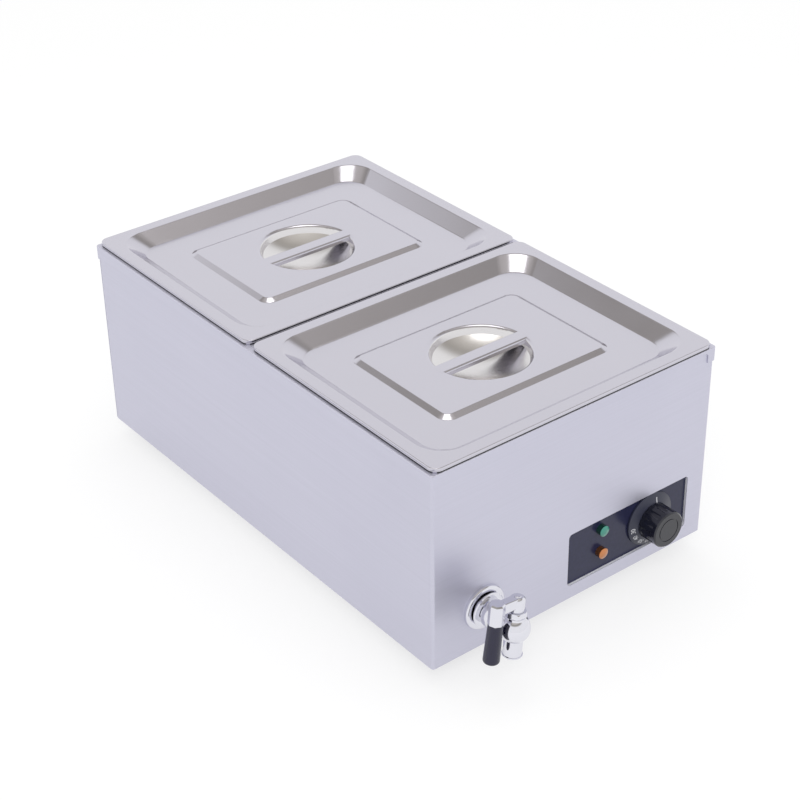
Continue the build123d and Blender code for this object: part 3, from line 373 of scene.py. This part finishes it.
def grain_group(name, stretch):
    """Fine straight scratches; the stretch packs them close across the grain."""
    group, given, made = new_group(
        name, {"Depth": 0.00002, "Strength": 0.3},
        {"Streaks": "NodeSocketFloat", "Normal": "NodeSocketVector"})
    wide = [s * BROAD_STREAKS for s in stretch]
    fine = noise(group, stretched_place(group, stretch), scale=1.0, detail=3.0, roughness=0.6)
    broad = noise(group, stretched_place(group, wide), scale=1.0, detail=2.0)
    streaks = maths(group, "ADD", maths(group, "MULTIPLY", fine, FINE_WEIGHT),
                    maths(group, "MULTIPLY", broad, 1 - FINE_WEIGHT))
    feed(group, made["Streaks"], streaks)
    feed(group, made["Normal"], relief(group, streaks, given["Depth"], given["Strength"]))
    return group


def handling_group():
    """Soft uneven marks from wiping and handling."""
    group, given, made = new_group(
        "Handling marks", {"Scale": 9.0, "Low": 0.0, "High": 1.0},
        {"Marks": "NodeSocketFloat"})
    blots = noise(group, object_place(group), given["Scale"], detail=4.0, distortion=0.6)
    feed(group, made["Marks"], spread(group, blots, given["Low"], given["High"]))
    return group


def speckle_group():
    """Fine pebbled surface of moulded plastic and rubber."""
    group, given, made = new_group(
        "Moulded speckle", {"Scale": 900.0, "Depth": 0.00003},
        {"Speckle": "NodeSocketFloat", "Normal": "NodeSocketVector"})
    speckle = noise(group, object_place(group), given["Scale"], detail=1.0)
    feed(group, made["Speckle"], speckle)
    feed(group, made["Normal"], relief(group, speckle, given["Depth"], strength=0.25))
    return group


def dish_group():
    """Mask that is 1 inside the round dish of either lid."""
    group, given, made = new_group(
        "Dish mask", {"Radius": 0.05, "Spread": 0.13}, {"Inside": "NodeSocketFloat"})
    place = split_place(group)
    along = maths(group, "SUBTRACT", maths(group, "ABSOLUTE", place["Y"]), given["Spread"])
    square = maths(group, "ADD", maths(group, "MULTIPLY", place["X"], place["X"]),
                   maths(group, "MULTIPLY", along, along))
    away = maths(group, "SQRT", square)
    feed(group, made["Inside"], maths(group, "LESS_THAN", away, given["Radius"]))
    return group


def make_groups():
    """Makes each shared group once."""
    GROUPS["sheet grain"] = grain_group(
        "Level sheet grain", (GRAIN_ALONG, GRAIN_ALONG, GRAIN_ACROSS))
    GROUPS["flat grain"] = grain_group(
        "Crosswise grain", (GRAIN_ALONG, GRAIN_ACROSS, GRAIN_ACROSS))
    GROUPS["marks"] = handling_group()
    GROUPS["speckle"] = speckle_group()
    GROUPS["dish"] = dish_group()


# Materials

def finish_of(name, colour, metallic, roughness, **values):
    """New material; returns it with its node tree and its shader's sockets."""
    material = bpy.data.materials.new(name)
    material.use_nodes = True
    shader = material.node_tree.nodes["Principled BSDF"].inputs
    shader["Base Color"].default_value = (*colour, 1)
    shader["Metallic"].default_value = metallic
    shader["Roughness"].default_value = roughness
    for label, value in values.items():
        shader[label.replace("_", " ")].default_value = value
    return material, material.node_tree, shader


def use(material, name, **values):
    """Places a shared group in a material with its own values; returns its outputs."""
    node = material.node_tree.nodes.new("ShaderNodeGroup")
    node.node_tree = GROUPS[name]
    for label, value in values.items():
        node.inputs[label].default_value = value
    return node.outputs


def worn(material, roughness, scale, low, high):
    """Handling marks that lower and raise the roughness; returns the marks."""
    marks = use(material, "marks", Scale=scale, Low=roughness * low, High=roughness * high)
    shader = material.node_tree.nodes["Principled BSDF"].inputs
    feed(material.node_tree, shader["Roughness"], marks["Marks"])
    return marks["Marks"]


def cover(material, label, mask, value):
    """Lays another value over one of the shader's sockets where the mask is 1."""
    tree = material.node_tree
    socket = tree.nodes["Principled BSDF"].inputs[label]
    under = socket.links[0].from_socket if socket.links else socket.default_value
    kind = "FLOAT" if socket.type == "VALUE" else "RGBA"
    feed(tree, socket, blended(tree, mask, under, value, kind))


def brushed_steel(name, colour, look, metallic=1.0, grain="sheet grain"):
    """Brushed sheet, whose grain draws out its reflections."""
    roughness = look.sheet_roughness
    material, tree, shader = finish_of(name, colour, metallic, roughness, Anisotropic=0.35)
    streaks = use(material, grain, Depth=look.grain_depth, Strength=0.35)
    worn(material, roughness, scale=7.0, low=0.86, high=1.16)
    shades = tint(tree, streaks["Streaks"], colour, low=0.93, high=1.07)
    feed(tree, shader["Base Color"], shades)
    feed(tree, shader["Normal"], streaks["Normal"])
    return material


def flange_highlight_mask(tree):
    """Mask of the casing's sheet that turns in behind the front, round the window, where the
    painted highlight goes.
    """
    place = split_place(tree)
    inside = between(tree, place["Y"], CASE_FRONT + FLANGE_BEND, PLATE_LOW.y + FLANGE_PAST)
    across = between(tree, place["X"], PLATE_LOW.x, PLATE_HIGH.x)
    below = maths(tree, "LESS_THAN", place["Z"], PLATE_HIGH.z)
    return maths(tree, "MULTIPLY", inside, maths(tree, "MULTIPLY", across, below))


def casing_steel(name, look):
    """Brushed sheet whose window flange is painted bright white and not metallic, a painted
    highlight in place of its steel.
    """
    material = brushed_steel(name, look.sheet, look, look.sheet_metal)
    flange = flange_highlight_mask(material.node_tree)
    # Painted highlight on the flange round the window
    cover(material, "Base Color", flange, look.flange)
    cover(material, "Metallic", flange, 0.0)
    return material


def pressed_steel(name, look):
    """Smooth rolled sheet, slightly wavy from the press."""
    material, tree, shader = finish_of(
        name, look.pressed, metallic=1.0, roughness=look.pressed_roughness)
    marks = worn(material, look.pressed_roughness, scale=16.0, low=0.8, high=1.25)
    feed(tree, shader["Base Color"], tint(tree, marks, look.pressed, low=0.99, high=1.02))
    waves = noise(tree, object_place(tree), scale=14.0, detail=1.0)
    feed(tree, shader["Normal"], relief(tree, waves, look.wave_depth, strength=0.25))
    return material


def lid_steel(name, look):
    """Lid sheet, polished in the round finger dish."""
    material = pressed_steel(name, look)
    dish = use(material, "dish", Radius=look.dish_radius, Spread=LID_SPREAD)
    cover(material, "Base Color", dish["Inside"], look.dish)
    cover(material, "Roughness", dish["Inside"], look.dish_roughness)
    return material


def rim_shade_mask(tree, look):
    """Mask of the foot of a pan's turned-down rim, where the painted shadow goes."""
    place = split_place(tree)
    across = maths(tree, "ABSOLUTE", place["X"])
    along = maths(tree, "ABSOLUTE", place["Y"])
    along = maths(tree, "ABSOLUTE", maths(tree, "SUBTRACT", along, LID_SPREAD))
    edge = maths(tree, "MAXIMUM",
                 maths(tree, "GREATER_THAN", across, PAN_HIGH.x - look.rim_shade_reach),
                 maths(tree, "GREATER_THAN", along, PAN_HALF - look.rim_shade_reach))
    foot = PAN_HIGH.z - look.rim_height
    level = between(tree, place["Z"], foot, foot + look.rim_shade_height)
    return maths(tree, "MULTIPLY", edge, level)


def pan_steel(name, look):
    """Pan sheet with a painted shadow: near-black and not metallic along the foot of its rim,
    where the gap above the top frame lies in shade.
    """
    material = pressed_steel(name, look)
    foot = rim_shade_mask(material.node_tree, look)
    # Painted shadow: the rim's foot turns near-black and loses its metal
    cover(material, "Base Color", foot, look.rim_shade)
    cover(material, "Metallic", foot, 0.0)
    return material


def lens_plastic(name, colour, roughness):
    """Clear lens whose straight sides are painted dark as shade, below its brighter domed face.
    """
    material, tree, shader = finish_of(
        name, colour, metallic=0.0, roughness=roughness, Coat_Weight=0.5)
    marks = use(material, "marks", Scale=400.0, Low=0.75, High=1.2)
    # Painted shade on the lens's straight sides
    side = maths(tree, "GREATER_THAN", split_place(tree)["Y"], LENS_FACE + LENS_DOME)
    face = tint(tree, marks["Marks"], colour, low=0.85, high=1.25)
    dark = [c * LENS_SIDE_SHADE for c in colour]
    feed(tree, shader["Base Color"], blended(tree, side, face, dark))
    return material


def plated_metal(name, colour, roughness):
    """Plated or turned metal with faint handling marks."""
    material, tree, shader = finish_of(name, colour, metallic=1.0, roughness=roughness)
    marks = worn(material, roughness, scale=60.0, low=0.7, high=1.5)
    feed(tree, shader["Base Color"], tint(tree, marks, colour, low=0.97, high=1.03))
    return material


def moulded(name, colour, roughness, scale=900.0, depth=0.00003, **values):
    """Plastic or rubber with a fine pebbled surface."""
    material, tree, shader = finish_of(
        name, colour, metallic=0.0, roughness=roughness, **values)
    speckle = use(material, "speckle", Scale=scale, Depth=depth)
    worn(material, roughness, scale=25.0, low=0.8, high=1.3)
    shades = tint(tree, speckle["Speckle"], colour, low=0.85, high=1.15)
    feed(tree, shader["Base Color"], shades)
    feed(tree, shader["Normal"], speckle["Normal"])
    return material


def wear(material, *nodes):
    """Gives CAD nodes a material."""
    for node in nodes:
        mesh = NODES[node].data
        mesh.materials.clear()
        mesh.materials.append(material)


# Meshes

def new_piece(name, mesh, body, material):
    """Object at the origin from a finished bmesh, riding on a body."""
    bmesh.ops.remove_doubles(mesh, verts=mesh.verts, dist=WELD)
    bmesh.ops.recalc_face_normals(mesh, faces=mesh.faces)
    data = bpy.data.meshes.new(name)
    mesh.to_mesh(data)
    mesh.free()
    data.materials.append(material)
    piece = bpy.data.objects.new(name, data)
    bpy.context.scene.collection.objects.link(piece)
    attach(piece, body)


def thicken(mesh):
    """Gives flat faces a top one unit above and a bottom one unit below."""
    bmesh.ops.remove_doubles(mesh, verts=mesh.verts, dist=TEXT_WELD)
    made = bmesh.ops.extrude_face_region(mesh, geom=mesh.faces[:])["geom"]
    top = [v for v in made if isinstance(v, bmesh.types.BMVert)]
    bmesh.ops.translate(mesh, verts=mesh.verts, vec=(0, 0, -1))
    bmesh.ops.translate(mesh, verts=top, vec=(0, 0, 2))


def number_mesh(words, height):
    """Flat number as a closed mesh, centred, one unit thick each way."""
    curve = bpy.data.curves.new("Number", "FONT")
    curve.body = words
    curve.size = height / DIGIT_SHARE
    curve.align_x = "CENTER"
    curve.align_y = "CENTER"
    curve.offset = STROKE * height
    holder = bpy.data.objects.new("Number", curve)
    bpy.context.scene.collection.objects.link(holder)
    graph = bpy.context.evaluated_depsgraph_get()
    flat = bpy.data.meshes.new_from_object(holder.evaluated_get(graph))
    bpy.data.objects.remove(holder)
    bpy.data.curves.remove(curve)
    mesh = bmesh.new()
    mesh.from_mesh(flat)
    bpy.data.meshes.remove(flat)
    heights = [v.co.y for v in mesh.verts]
    centre = (max(heights) + min(heights)) / 2
    bmesh.ops.translate(mesh, verts=mesh.verts, vec=(0, -centre, 0))
    thicken(mesh)
    return mesh


def tick_mesh(width, length):
    """Flat upright tick as a closed mesh, one unit thick each way."""
    mesh = bmesh.new()
    bmesh.ops.create_grid(mesh, x_segments=2, y_segments=TICK_PIECES, size=0.5)
    bmesh.ops.scale(mesh, verts=mesh.verts, vec=(width, length, 1))
    thicken(mesh)
    return mesh


def on_dial(mesh, angle, radius, lift):
    """Wraps a flat mark round the dial's coned face, its top outwards."""
    low, high = DIAL_LOW.y, DIAL_HIGH.y - DIAL_RIM
    for vertex in mesh.verts:
        out, along, up = radius + vertex.co.y, vertex.co.x, vertex.co.z
        x = out * cos(angle) + along * sin(angle)
        z = out * sin(angle) - along * cos(angle)
        share = (DIAL_RADIUS - hypot(x, z)) / (DIAL_RADIUS - DIAL_TOP_RADIUS)
        y = high + share * (low - high) - up * lift
        vertex.co = (DIAL_CENTRE.x + x, y, DIAL_CENTRE.z + z)


def print_dial(look):
    """White tick and numbers on the dial's coned face, one piece that turns with the knob."""
    tick = tick_mesh(look.tick_width, look.tick_length)
    tick_radius = DIAL_TOP_RADIUS + look.tick_length / 2 - TICK_OVERLAP
    on_dial(tick, look.tick_angle, tick_radius, look.mark_relief)
    parts = [tick]
    for turn in range(look.number_count):
        words = str(look.first_number + turn * look.number_step)
        number = number_mesh(words, look.number_height)
        angle = look.first_angle + turn * look.angle_step
        on_dial(number, angle, (DIAL_RADIUS + DIAL_TOP_RADIUS) / 2, look.mark_relief)
        parts.append(number)
    marks = bmesh.new()
    for part in parts:
        data = bpy.data.meshes.new("Mark")
        part.to_mesh(data)
        part.free()
        marks.from_mesh(data)
        bpy.data.meshes.remove(data)
    ink = moulded("White print", look.ink, look.ink_roughness, scale=1500.0, depth=0.00001)
    new_piece("dial_marks", marks, "knob", ink)


# The stage

def lay_floor(look):
    """Wide pale floor that takes the object's shadow."""
    mesh = bmesh.new()
    bmesh.ops.create_grid(mesh, x_segments=1, y_segments=1, size=FLOOR_HALF)
    data = bpy.data.meshes.new("Floor")
    mesh.to_mesh(data)
    mesh.free()
    floor = bpy.data.objects.new("Floor", data)
    bpy.context.scene.collection.objects.link(floor)
    material, tree, shader = finish_of(
        "Pale floor", look.floor, metallic=0.0, roughness=0.9,
        Specular_IOR_Level=0.0, Emission_Color=(1, 1, 1, 1))
    glow = spread(tree, seen_rays(tree), low=0.0, high=look.floor_glow)
    feed(tree, shader["Emission Strength"], glow)
    data.materials.append(material)


def seen_rays(tree):
    """1 on the rays that show the background: camera, glossy and transmission rays."""
    path = tree.nodes.new("ShaderNodeLightPath").outputs
    mirrored = maths(tree, "MAXIMUM", path["Is Glossy Ray"], path["Is Transmission Ray"])
    return maths(tree, "MAXIMUM", path["Is Camera Ray"], mirrored)


def light_world(look):
    """White studio walls under a warm grey ceiling, which only the metal shows."""
    world = bpy.data.worlds.new("Studio")
    bpy.context.scene.world = world
    world.use_nodes = True
    tree = world.node_tree
    background = tree.nodes["Background"].inputs
    parts = tree.nodes.new("ShaderNodeSeparateXYZ")
    heading = tree.nodes.new("ShaderNodeTexCoord")
    tree.links.new(heading.outputs["Generated"], parts.inputs[0])
    node = tree.nodes.new("ShaderNodeValToRGB")
    tree.links.new(parts.outputs["Z"], node.inputs[0])
    ramp = node.color_ramp
    ramp.interpolation = "EASE"
    wall, ceiling = ramp.elements
    wall.position, wall.color = look.wall_top, (1, 1, 1, 1)
    ceiling.position, ceiling.color = look.ceiling_height, (*look.ceiling, 1)
    ramp.elements.new(look.edge_height).color = (*look.ceiling_edge, 1)
    glossy = tree.nodes.new("ShaderNodeLightPath").outputs["Is Glossy Ray"]
    feed(tree, background["Color"], blended(tree, glossy, (1, 1, 1), node.outputs[0]))
    light = spread(tree, seen_rays(tree), low=look.fill, high=1.0)
    feed(tree, background["Strength"], light)


def soft_lamp(name, place, width, power, colour):
    """Round lamp that faces the middle of the object and stays out of the picture."""
    data = bpy.data.lights.new(name, "AREA")
    data.shape = "DISK"
    data.size = width
    data.energy = power
    data.color = colour
    lamp = bpy.data.objects.new(name, data)
    lamp.location = place
    lamp.rotation_euler = (LAMP_TARGET - Vector(place)).to_track_quat("-Z", "Y").to_euler()
    lamp.visible_camera = False
    bpy.context.scene.collection.objects.link(lamp)
    return lamp


def stand_camera(look):
    """Camera at the photo's viewing angle."""
    camera = bpy.data.objects.new("Camera", bpy.data.cameras.new("Camera"))
    camera.data.lens = look.lens
    camera.data.clip_end = CAMERA_REACH
    camera.location = look.camera_place
    camera.rotation_euler = look.camera_turn
    bpy.context.scene.collection.objects.link(camera)
    bpy.context.scene.camera = camera


# Operators

class FinishCasing(bpy.types.Operator):
    """Finish the casing, the back, the base plate and the top frame"""
    bl_idname = "bain.casing"
    bl_label = "Casing"

    def execute(self, context):
        look = context.scene.bain_steel
        wear(casing_steel("Casing sheet", look), "casing_wrap")
        sheet = brushed_steel("Brushed sheet", look.sheet, look, look.sheet_metal)
        wear(sheet, "back_panel", "top_frame")
        satin = brushed_steel("Satin sheet", look.satin, look, grain="flat grain")
        wear(satin, "base_plate", "cross_bar", "bar_ledges", "water_tank")
        fixings = plated_metal("Screw steel", look.satin, look.sheet_roughness)
        wear(fixings, "base_screws", "back_screws", "foot_bolts", "foot_nuts", "earth_stud")
        return {"FINISHED"}


class FinishPans(bpy.types.Operator):
    """Finish the pans and their lids"""
    bl_idname = "bain.pans"
    bl_label = "Pans and lids"

    def execute(self, context):
        look = context.scene.bain_steel
        wear(lid_steel("Lid sheet", look), "front_lid", "rear_lid")
        wear(pressed_steel("Pressed sheet", look), "front_lid_strap", "rear_lid_strap")
        wear(pan_steel("Pan sheet", look), "front_pan", "rear_pan")
        return {"FINISHED"}


class FinishControls(bpy.types.Operator):
    """Finish the control plate, the lamps and the knob, and print the dial"""
    bl_idname = "bain.controls"
    bl_label = "Controls"

    def execute(self, context):
        look = context.scene.bain_control
        wear(moulded("Slate panel", look.panel, look.panel_roughness, scale=300.0,
                     depth=0.00001, Specular_IOR_Level=0.35), "control_plate")
        wear(moulded("Knob plastic", look.knob, look.knob_roughness, Coat_Weight=0.3),
             "control_knob")
        wear(moulded("Dial plastic", look.dial, look.dial_roughness), "dial_skirt")
        wear(lens_plastic("Green lens", look.green, look.lens_roughness), "green_lens")
        wear(lens_plastic("Amber lens", look.amber, look.lens_roughness), "amber_lens")
        print_dial(look)
        return {"FINISHED"}


class FinishTap(bpy.types.Operator):
    """Finish the drain tap"""
    bl_idname = "bain.tap"
    bl_label = "Tap"

    def execute(self, context):
        look = context.scene.bain_tap
        wear(plated_metal("Chrome plate", look.chrome, look.chrome_roughness),
             "tap_rose", "tap_body", "tap_gland_nut", "tap_lever", "lever_screw")
        wear(moulded("Grip plastic", look.grip, look.grip_roughness, Coat_Weight=0.1),
             "lever_grip")
        return {"FINISHED"}


class FinishInside(bpy.types.Operator):
    """Finish the heater, the electrical pieces, the drain, the feet and the gland"""
    bl_idname = "bain.inside"
    bl_label = "Inside and underneath"

    def execute(self, context):
        steel, look = context.scene.bain_steel, context.scene.bain_inner
        wear(plated_metal("Turned brass", look.brass, look.brass_roughness),
             "tap_plug", "tap_backnut", "element_fittings", "element_nuts",
             "drain_spigot", "drain_nut", "terminal_screws")
        wear(plated_metal("Copper tube", look.copper, look.copper_roughness),
             "thermostat_capillary", "thermostat_bulb")
        wear(plated_metal("Element sheath", look.sheath, look.sheath_roughness),
             "heating_element")
        wear(plated_metal("Small steel", steel.satin, look.clip_roughness),
             "thermostat_shaft", "thermostat_screws", "bulb_clips",
             "element_saddles", "element_terminals", "hose_clips")
        wear(moulded("Black rubber", look.rubber, look.rubber_roughness,
                     scale=500.0, depth=0.00008),
             "feet", "element_washers", "tap_packing", "drain_hose")
        wear(moulded("Housing plastic", look.housing, look.housing_roughness),
             "thermostat_body", "lamp_holders", "cut_out", "terminal_block")
        wear(moulded("Gland plastic", look.gland, look.gland_roughness),
             "cord_gland", "cord_gland_nut")
        return {"FINISHED"}


class SetStage(bpy.types.Operator):
    """Lay the floor, hang the lamps and stand the camera"""
    bl_idname = "bain.stage"
    bl_label = "Stage"

    def execute(self, context):
        look = context.scene.bain_stage
        lay_floor(look)
        light_world(look)
        soft_lamp("Overhead lamp", look.overhead_place, look.overhead_width, look.overhead,
                  look.overhead_colour)
        key = soft_lamp("Key lamp", look.key_place, look.key_width, look.key, look.key_colour)
        key.visible_glossy = False
        stand_camera(look)
        context.scene.view_settings.view_transform = "Standard"
        return {"FINISHED"}


# Panel, registration and the whole job

SECTIONS = {
    "bain_steel": (SteelLook, (FinishCasing, FinishPans)),
    "bain_control": (ControlLook, (FinishControls,)),
    "bain_tap": (TapLook, (FinishTap,)),
    "bain_inner": (InnerLook, (FinishInside,)),
    "bain_stage": (StageLook, (SetStage,)),
}


class BainPanel(bpy.types.Panel):
    """Finishes of the bain-marie"""
    bl_idname = "BAIN_PT_looks"
    bl_label = "Bain-marie"
    bl_space_type = "VIEW_3D"
    bl_region_type = "UI"
    bl_category = "Bain-marie"

    def draw(self, context):
        for section, (look, operators) in SECTIONS.items():
            box = self.layout.box()
            for name in look.__annotations__:
                box.prop(getattr(context.scene, section), name)
            for made in operators:
                box.operator(made.bl_idname)


CLASSES = (SteelLook, ControlLook, TapLook, InnerLook, StageLook, FinishCasing, FinishPans,
           FinishControls, FinishTap, FinishInside, SetStage, BainPanel)


def register():
    for made in CLASSES:
        bpy.utils.register_class(made)
    for section, (look, _) in SECTIONS.items():
        setattr(bpy.types.Scene, section, bpy.props.PointerProperty(type=look))


def unregister():
    for section in SECTIONS:
        delattr(bpy.types.Scene, section)
    for made in reversed(CLASSES):
        bpy.utils.unregister_class(made)


def main():
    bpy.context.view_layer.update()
    register()
    make_groups()
    bpy.ops.bain.casing()
    bpy.ops.bain.pans()
    bpy.ops.bain.controls()
    bpy.ops.bain.tap()
    bpy.ops.bain.inside()
    bpy.ops.bain.stage()
    bpy.context.view_layer.update()


if __name__ == "__main__":
    main()
